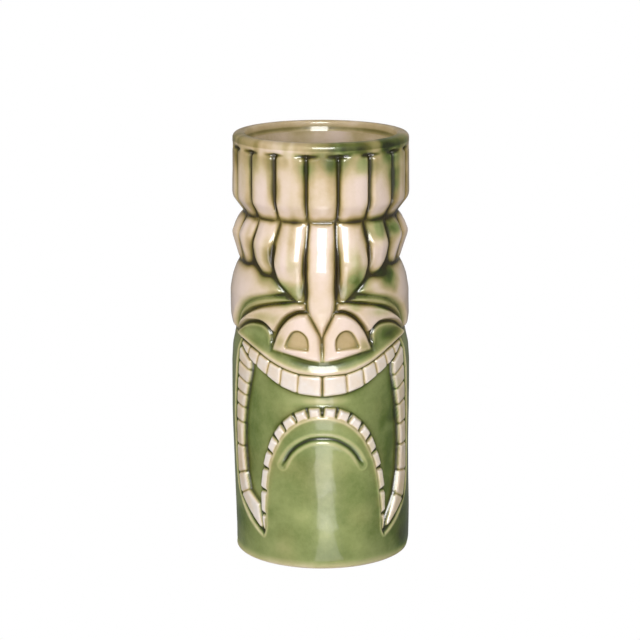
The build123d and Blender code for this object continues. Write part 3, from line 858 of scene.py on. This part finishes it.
def cap_triangles(points, edges, spare):
    """The points on the open edges, and coarse triangles over (u, z) that fill the area inside them."""
    ring = sorted({v for edge in edges for v in edge})
    index = {v: k for k, v in enumerate(ring)}
    flat = [Vector(points[v][:2]) for v in ring] + [Vector(p) for p in spare]
    fixed = [(index[a], index[b]) for a, b in edges]
    coords, _, triangles, origin, _, _ = delaunay_2d_cdt(flat, fixed, [], 2, 1e-5)
    source = [found[0] if found else 0 for found in origin]
    kept = []
    for triangle in triangles:
        a, b, c = (coords[k] for k in triangle)
        area = (b[0] - a[0]) * (c[1] - a[1]) - (b[1] - a[1]) * (c[0] - a[0])
        corners = [source[k] for k in (triangle if area > 0 else triangle[::-1])]
        if len(set(corners)) == 3:
            kept.append(corners)
    return ring, kept


def behind(flat):
    """The points in the cup's wall behind points of the map, given by their (u, z)."""
    back = np.zeros((len(flat), 8))
    back[:, :2] = flat
    back[:, 2] = core_radius(back[:, 1])
    back[:, 3:5] = 1
    return back


def new_mesh(name, points, faces):
    """A smooth mesh of points as cut_share gives them, with the glaze's thickness, painted shade included,
    and tint at each.
    """
    mesh = bpy.data.meshes.new(name)
    mesh.from_pydata(place(points[:, 0], points[:, 1], points[:, 2]).tolist(), [], faces)
    for label, column in (("glaze_and_shade", 3), ("green", 4)):
        values = points[:, column].astype(np.float32)
        mesh.attributes.new(label, "FLOAT", "POINT").data.foreach_set("value", values)
    mesh.polygons.foreach_set("use_smooth", np.ones(len(faces), bool))
    mesh.update()
    return mesh


def shade(mesh, points, top_faces):
    """Sets the points' own normals on the first faces and flat shading on the rest. A point without
    a normal is shaded from its faces."""
    smooth = np.zeros(len(mesh.polygons), bool)
    smooth[:top_faces] = True
    mesh.polygons.foreach_set("use_smooth", smooth)
    corner_point = np.empty(len(mesh.loops), np.int32)
    mesh.loops.foreach_get("vertex_index", corner_point)
    starts = np.empty(len(mesh.polygons), np.int32)
    mesh.polygons.foreach_get("loop_start", starts)
    wanted = points[corner_point, 5:8]
    if top_faces < len(starts):
        wanted[starts[top_faces]:] = 0
    mesh.normals_split_custom_set(wanted.tolist())


def piece(mesh, name, node):
    obj = bpy.data.objects.new(name, mesh)
    bpy.context.scene.collection.objects.link(obj)
    slot = SLOTS[node]
    mesh.materials.append(MATERIALS[slot])
    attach(obj, "root")
    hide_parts(node)


pocket_floors = []


def relief_piece(node, share):
    """One relief piece: its share of the map, sides down into the cup's wall, and a curved back."""
    margin = margin_over_rivals(share.at, share.d)
    cols, rows = grid_of(share)
    points, faces = cut_share(cols, rows, margin[np.ix_(cols - share.first, rows - share.low)])
    top_faces = len(faces)
    edges = open_edges(faces)
    spare = []
    for c in range(share.first, cols[-1], CAP_SPACING):
        for r in range(max(share.low, FOOT_ROW), rows[-1], CAP_SPACING):
            if margin[c - share.first, r - share.low] > 1.0:
                spare.append(((c - RASTER_COLS // 2) * STEP_U, r * STEP_Z))
    ring, triangles = cap_triangles(points, edges, spare)
    back = behind([points[v][:2] for v in ring] + spare)
    base = len(points)
    under = {v: base + k for k, v in enumerate(ring)}
    faces += [[b, a, under[a], under[b]] for a, b in edges]
    faces += [[base + k for k in triangle[::-1]] for triangle in triangles]
    pocket_floors.append((back, triangles))
    points = np.concatenate([points, back])
    mesh = new_mesh(node, points, faces)
    shade(mesh, points, top_faces)
    piece(mesh, f"{node}_glazed", node)


# ------ turned pieces
def map_ring(z):
    """A ring of the height map, as one point at every mesh column."""
    row = int(round(z / STEP_Z))
    fields = [MESH_U, np.full(len(COLUMNS), float(z))]
    fields += [field[COLUMNS, row] for field in (heights, glaze_and_shade_map, green_map, normal_map)]
    return np.column_stack(fields)


def plain_ring(z, r, thick, tint):
    ring = np.zeros((len(COLUMNS), 8))
    for column, value in enumerate((MESH_U, z, r, thick, tint)):
        ring[:, column] = value
    return ring


def ring_faces(rings, closed):
    """The faces between rings, which run so that the outside is on their left."""
    count = len(COLUMNS)
    faces = []
    for i in range(len(rings) if closed else len(rings) - 1):
        low, high = i * count, (i + 1) % len(rings) * count
        for k in range(count):
            beside = (k + 1) % count
            faces.append([low + k, low + beside, high + beside, high + k])
    return faces


def turned_piece(node, name, rings):
    """A closed turned piece whose last band of faces, against its neighbour, is flat shaded."""
    faces = ring_faces(rings, True)
    points = np.concatenate(rings)
    mesh = new_mesh(node, points, faces)
    shade(mesh, points, len(faces) - len(COLUMNS))
    piece(mesh, name, node)


def make_rim():
    """The rim band: the top of the height map, then the rolled lip and down inside."""
    rings = [map_ring(BAND_Z + step * STEP_Z) for step in (0, 2, 4, 6)]
    z0, r0, thick, tint = rings[-1][:, 1:5].T
    roll = curve_through([
        (33.85, z0[0]), (33.83, 162.8), (33.65, 163.5), (33.15, 164.1), (32.35, 164.5), (31.4, 164.68),
        (30.3, 164.7), (29.6, 164.55), (29.2, 164.2), (29.05, 163.7), (29.0, 162.7),
        (28.93, 162.1), (28.68, 161.2), (28.44, 160.35), (28.4, BAND_Z)], 3)
    wobble = drift(21, 5.0)[COLUMNS, 40]
    for k, (r, z) in enumerate(roll[1:] + [np.array((INSIDE_R, BAND_Z))], 1):
        share = k / len(roll)
        pooled = thick * (1 - share) ** 1.5 + 0.18 + 0.14 * share + 0.06 * wobble
        pooled += 0.36 * np.exp(-((share - 0.8) / 0.07) ** 2)
        green = tint * (1 - share) + 0.15 * share
        rings.append(plain_ring(z, r + (r0 - BAND_R) * (1 - share), pooled, green))
    turned_piece("rim_band", "rim_band_glazed", rings)


def make_foot():
    """The foot ring: its inner side, the bare edge the mug stands on, and the bottom of the height map."""
    inner = [(FOOT_Z, FOOT_INSIDE_R), (2.0, FOOT_INSIDE_R), (0.8, FOOT_INSIDE_R)]
    inner += [(0.3, 25.65), (0.06, 26.1), (0.0, 26.8), (0.0, 30.0)]
    rings = [plain_ring(z, r, 0.0, 0.2) for z, r in inner]
    start = map_ring(8 * STEP_Z)
    r1, thick, tint = start[:, 2:5].T
    for z, drop, keep in ((0.0, 0.75, 0.3), (0.06, 0.45, 0.4), (0.22, 0.22, 0.5), (0.5, 0.08, 0.7),
                          (0.9, 0.02, 0.9)):
        rings.append(plain_ring(z, r1 - drop, thick * keep, tint * keep))
    rings += [start, map_ring(12 * STEP_Z), map_ring(18 * STEP_Z)]
    turned_piece("foot_ring", "foot_ring_clay", rings)


def inside_rings():
    """The rings of the cup's inside, from the rim band's seat down to the foot's."""
    rings = [plain_ring(BAND_Z, HEAD_CORE_R, 0.5, 0.3), plain_ring(BAND_Z, INSIDE_R, 0.5, 0.3)]
    for z, r, thick in INSIDE:
        smear = drift(31, 9.0)[COLUMNS, int(z / STEP_Z)]
        rings.append(plain_ring(z, r, thick + 0.09 * smear, 0.15 + 0.1 * smear))
    return rings + [plain_ring(FOOT_Z, INSIDE_R, 0.5, 0.3), plain_ring(FOOT_Z, CUP_CORE_R, 0.5, 0.3)]


def make_wall():
    """The cup's wall: the ground between the relief pieces, the pockets they sit in, and the inside."""
    cols = np.array(COLUMNS + [COLUMNS[0] + RASTER_COLS])
    rows = np.arange(FOOT_ROW, BAND_ROW + 1, FINE_STRIDE)
    margin = margin_over_rivals(np.s_[:, :], GROUND_LEVEL)
    points, faces = cut_share(cols, rows, margin[np.ix_(cols % RASTER_COLS, rows)], closed=True)
    top_faces = len(faces)
    edges = open_edges(faces)
    ring = sorted({v for edge in edges for v in edge})
    under = {v: len(points) + k for k, v in enumerate(ring)}
    faces += [[b, a, under[a], under[b]] for a, b in edges]
    parts = [points, behind(points[ring, :2])]
    offset = len(points) + len(ring)
    for back, triangles in pocket_floors:
        faces += [[offset + k for k in triangle] for triangle in triangles]
        parts.append(back)
        offset += len(back)
    rings = inside_rings()
    inner_faces = ring_faces(rings, False)
    faces += [[offset + k for k in face] for face in inner_faces]
    points = np.concatenate(parts + rings)
    mesh = new_mesh("cup_wall", points, faces)
    shade(mesh, points, top_faces)
    smooth = np.empty(len(faces), bool)
    mesh.polygons.foreach_get("use_smooth", smooth)
    smooth[-len(inner_faces):] = True
    mesh.polygons.foreach_set("use_smooth", smooth)
    piece(mesh, "cup_wall_glazed", "cup_wall")


def make_floor_of_cup():
    """The cup's floor, coved up into the wall, with its bare underside."""
    seat_r = INSIDE_R - FLOOR_GAP
    foot_seat_r = FOOT_INSIDE_R - 2 * FLOOR_GAP
    rings = [plain_ring(FLOOR_UNDER_Z, r, 0.0, 0.2) for r in (12.0, 24.0, foot_seat_r)]
    rings.append(plain_ring(FOOT_Z, foot_seat_r, 0.0, 0.2))
    rings += [plain_ring(z, seat_r, 0.5, 0.2) for z in (FOOT_Z, FLOOR_TOP_Z + COVE_TALL)]
    for turn in np.linspace(0, 90, 9):
        down = sin(radians(turn))
        r = seat_r - COVE_WIDE * (1 - cos(radians(turn)))
        rings.append(plain_ring(FLOOR_TOP_Z + COVE_TALL * (1 - down), r, 0.45 + 0.1 * down, 0.25))
    rings += [plain_ring(FLOOR_TOP_Z, r, 0.55, 0.3) for r in (14.0, 7.0)]
    points = np.concatenate(rings)
    first, last = range(len(COLUMNS)), range(len(points) - len(COLUMNS), len(points))
    faces = ring_faces(rings, False) + [list(first)[::-1], list(last)]
    piece(new_mesh("cup_floor", points, faces), "cup_floor_glazed", "cup_floor")


# the cup's inside from the top down: height, radius and the glaze's thickness
INSIDE = [(BAND_Z - 0.02, 28.4, 0.24), (159.0, 28.4, 0.2), (152.0, 28.4, 0.15), (146.0, 28.35, 0.17),
          (141.0, 27.9, 0.28), (137.5, 27.2, 0.36), (134.5, 26.9, 0.45), (131.0, 27.2, 0.36),
          (126.0, 28.0, 0.3), (118.0, 28.4, 0.28), (100.0, 28.4, 0.28), (80.0, 28.4, 0.3),
          (60.0, 28.4, 0.28), (40.0, 28.4, 0.3), (20.0, 28.4, 0.36), (8.0, 28.4, 0.45)]


# ------ materials
def colour(r, g, b):
    """A colour given as seen, in 0 to 255, as Blender's linear values."""
    return [((c / 255 + 0.055) / 1.055) ** 2.4 if c > 10 else c / 255 / 12.92 for c in (r, g, b)] + [1.0]


OLIVE = [(0.14, (198, 178, 154)), (0.30, (176, 154, 116)), (0.52, (134, 117, 68)),
         (0.75, (84, 72, 22)), (1.0, (40, 31, 4))]
SAGE = [(0.14, (192, 181, 150)), (0.30, (164, 161, 114)), (0.52, (129, 137, 83)),
        (0.75, (72, 88, 32)), (1.0, (30, 36, 5))]


def set_inputs(tree, node, inputs):
    """Sets each input to a value, or links it to another node's output."""
    for label, value in inputs.items():
        if isinstance(value, bpy.types.NodeSocket):
            tree.links.new(value, node.inputs[label])
        else:
            node.inputs[label].default_value = value


def add_node(tree, kind, inputs, **settings):
    node = tree.nodes.new(kind)
    for label, value in settings.items():
        setattr(node, label, value)
    set_inputs(tree, node, inputs)
    return node


def add_ramp(tree, value, stops):
    """The colour at the value along a ramp of (place, colour) stops."""
    node = add_node(tree, "ShaderNodeValToRGB", {"Fac": value})
    ramp = node.color_ramp
    while len(ramp.elements) < len(stops):
        ramp.elements.new(0.5)
    for element, (at, rgb) in zip(ramp.elements, stops):
        element.position = at
        element.color = colour(*rgb)
    return node.outputs["Color"]


def add_noise(tree, scale, detail, rough):
    """Noise over the piece's own coordinates; scale counts lumps to a metre."""
    where = tree.nodes.new("ShaderNodeTexCoord").outputs["Object"]
    noise = {"Vector": where, "Scale": scale, "Detail": detail, "Roughness": rough}
    return add_node(tree, "ShaderNodeTexNoise", noise).outputs["Fac"]


def scaled(tree, value, low, high):
    """The value, 0 to 1, spread over low to high."""
    spread = {"Value": value, "To Min": low, "To Max": high}
    return add_node(tree, "ShaderNodeMapRange", spread).outputs["Result"]


def added(tree, *values):
    total = values[0]
    for value in values[1:]:
        total = add_node(tree, "ShaderNodeMath", {0: total, 1: value}, operation="ADD").outputs[0]
    return total


def attribute(tree, label):
    return add_node(tree, "ShaderNodeAttribute", {}, attribute_name=label).outputs["Fac"]


def glazed_clay(name, bare, roughness, coat):
    """Pale clay under a glaze whose colour follows how thick it lies, darkened too where shade is painted
    into that thickness.
    """
    material = bpy.data.materials.new(name)
    material.use_nodes = True
    tree = material.node_tree
    mottle = scaled(tree, add_noise(tree, 420, 4, 0.6), -0.07, 0.07)
    broad = scaled(tree, add_noise(tree, 95, 2, 0.5), -0.04, 0.04)
    thick = added(tree, attribute(tree, "glaze_and_shade"), mottle, broad)
    shades = {"Factor": attribute(tree, "green"),
              "A": add_ramp(tree, thick, [(0.0, bare)] + OLIVE),
              "B": add_ramp(tree, thick, [(0.0, bare)] + SAGE)}
    mix = add_node(tree, "ShaderNodeMix", shades, data_type="RGBA")
    bump = add_node(tree, "ShaderNodeBump", {
        "Strength": 0.25, "Distance": 0.0004, "Height": add_noise(tree, 900, 3, 0.6)})
    set_inputs(tree, tree.nodes["Principled BSDF"], {
        "Base Color": mix.outputs["Result"],
        "Roughness": scaled(tree, add_noise(tree, 260, 3, 0.5), roughness - 0.06, roughness + 0.06),
        "IOR": 1.5,
        "Specular IOR Level": 0.3,
        "Coat Weight": coat,
        "Coat Roughness": 0.09,
        "Normal": bump.outputs["Normal"],
    })
    return material


MATERIALS = {
    "green_glaze": glazed_clay("green_glaze", (208, 189, 176), 0.36, 0.7),
    "relief_glaze": glazed_clay("relief_glaze", (208, 189, 176), 0.38, 0.75),
    "tooth_glaze": glazed_clay("tooth_glaze", (202, 193, 184), 0.38, 0.7),
    "foot_clay": glazed_clay("foot_clay", (204, 188, 170), 0.5, 0.1),
}
SLOTS = {row["node"]: row["material_slot"] for row in frame["record"]["subparts"]}

for node, share in node_shares.items():
    relief_piece(node, share)
make_wall()
make_rim()
make_foot()
make_floor_of_cup()


# ------ floor, light and camera
def glowing(name, strength):
    """A surface that shows pure white however it is lit."""
    material = bpy.data.materials.new(name)
    material.use_nodes = True
    set_inputs(material.node_tree, material.node_tree.nodes["Principled BSDF"], {
        "Base Color": (0, 0, 0, 1),
        "Specular IOR Level": 0.0,
        "Emission Color": (1, 1, 1, 1),
        "Emission Strength": strength,
    })
    return material


def make_floor():
    mesh = bpy.data.meshes.new("floor")
    mesh.from_pydata([(-6, -4, 0), (6, -4, 0), (6, 9, 0), (-6, 9, 0)], [], [(0, 1, 2, 3)])
    floor = bpy.data.objects.new("floor", mesh)
    bpy.context.scene.collection.objects.link(floor)
    mesh.materials.append(glowing("white_sweep", 1.0))
    floor.visible_glossy = False
    floor.visible_diffuse = False
    floor.visible_shadow = False


def area_light(name, place_at, aim, width, height, watts):
    """A soft rectangular light at a place, turned to face its aim."""
    light = bpy.data.lights.new(name, "AREA")
    light.shape = "RECTANGLE"
    light.size, light.size_y = width, height
    light.energy = watts
    obj = bpy.data.objects.new(name, light)
    obj.location = place_at
    obj.rotation_euler = (Vector(aim) - Vector(place_at)).to_track_quat("-Z", "Z").to_euler()
    bpy.context.scene.collection.objects.link(obj)
    return obj


def make_world():
    """A pale studio: a little brighter in front of the mug than behind it."""
    world = bpy.data.worlds.new("studio")
    world.use_nodes = True
    tree = world.node_tree
    where = tree.nodes.new("ShaderNodeTexCoord").outputs["Generated"]
    split = add_node(tree, "ShaderNodeSeparateXYZ", {"Vector": where})
    depth = add_node(tree, "ShaderNodeMapRange", {
        "Value": split.outputs["Y"], "From Min": 0.5, "From Max": -0.3, "To Min": 0.16, "To Max": 0.26})
    set_inputs(tree, tree.nodes["Background"], {
        "Strength": depth.outputs["Result"], "Color": (0.97, 0.98, 1.0, 1)})
    bpy.context.scene.world = world


def make_camera():
    """A long lens a little left of the front and above the rim, looking down at the mug's middle."""
    data = bpy.data.cameras.new("camera")
    data.lens = 126.97
    data.sensor_width = 36
    camera = bpy.data.objects.new("camera", data)
    turned = radians(1.0)
    away, aside = 0.85814, 0.00017
    camera.location = (-away * sin(turned) - aside, -away * cos(turned), 0.28833)
    camera.rotation_euler = (radians(90 - 12.983), 0, -turned + radians(0.009))
    bpy.context.scene.collection.objects.link(camera)
    bpy.context.scene.camera = camera


make_floor()
make_world()
MIDDLE = (0, 0, 0.09)
WINDOW_AT = (0.03, -1.0, 0.56)
window = area_light("front_window", WINDOW_AT, MIDDLE, 0.48, 0.66, 20.0)
window.visible_diffuse = False
for name, place_at, wide, tall, watts in (("window_fill", WINDOW_AT, 0.48, 0.66, 8.5),
                                          ("front_fill", (0, -1.5, 0.5), 1.6, 1.2, 8.0),
                                          ("top_fill", (0, -0.2, 1.3), 1.0, 1.0, 5.5),
                                          ("left_fill", (-1.0, -0.9, 0.3), 0.5, 1.0, 13.0),
                                          ("right_fill", (1.1, -0.7, 0.3), 0.5, 1.0, 4.4),
                                          ("back_fill", (0.2, 1.4, 0.5), 1.4, 1.2, 11.0)):
    area_light(name, place_at, MIDDLE, wide, tall, watts).visible_glossy = False
for far, wide, watts in ((-0.075, 0.020, 0.009), (-0.115, 0.036, 0.025), (-0.165, 0.056, 0.050),
                         (-0.225, 0.080, 0.078), (-0.295, 0.110, 0.100)):
    glow = area_light("table_glow", (-0.06 * far, far, -0.002), (-0.06 * far, far, 1.0), wide, 0.06, watts)
    glow.data.color = (1.0, 0.94, 0.97)
    glow.visible_camera = False
make_camera()
bpy.context.scene.view_settings.view_transform = "Standard"
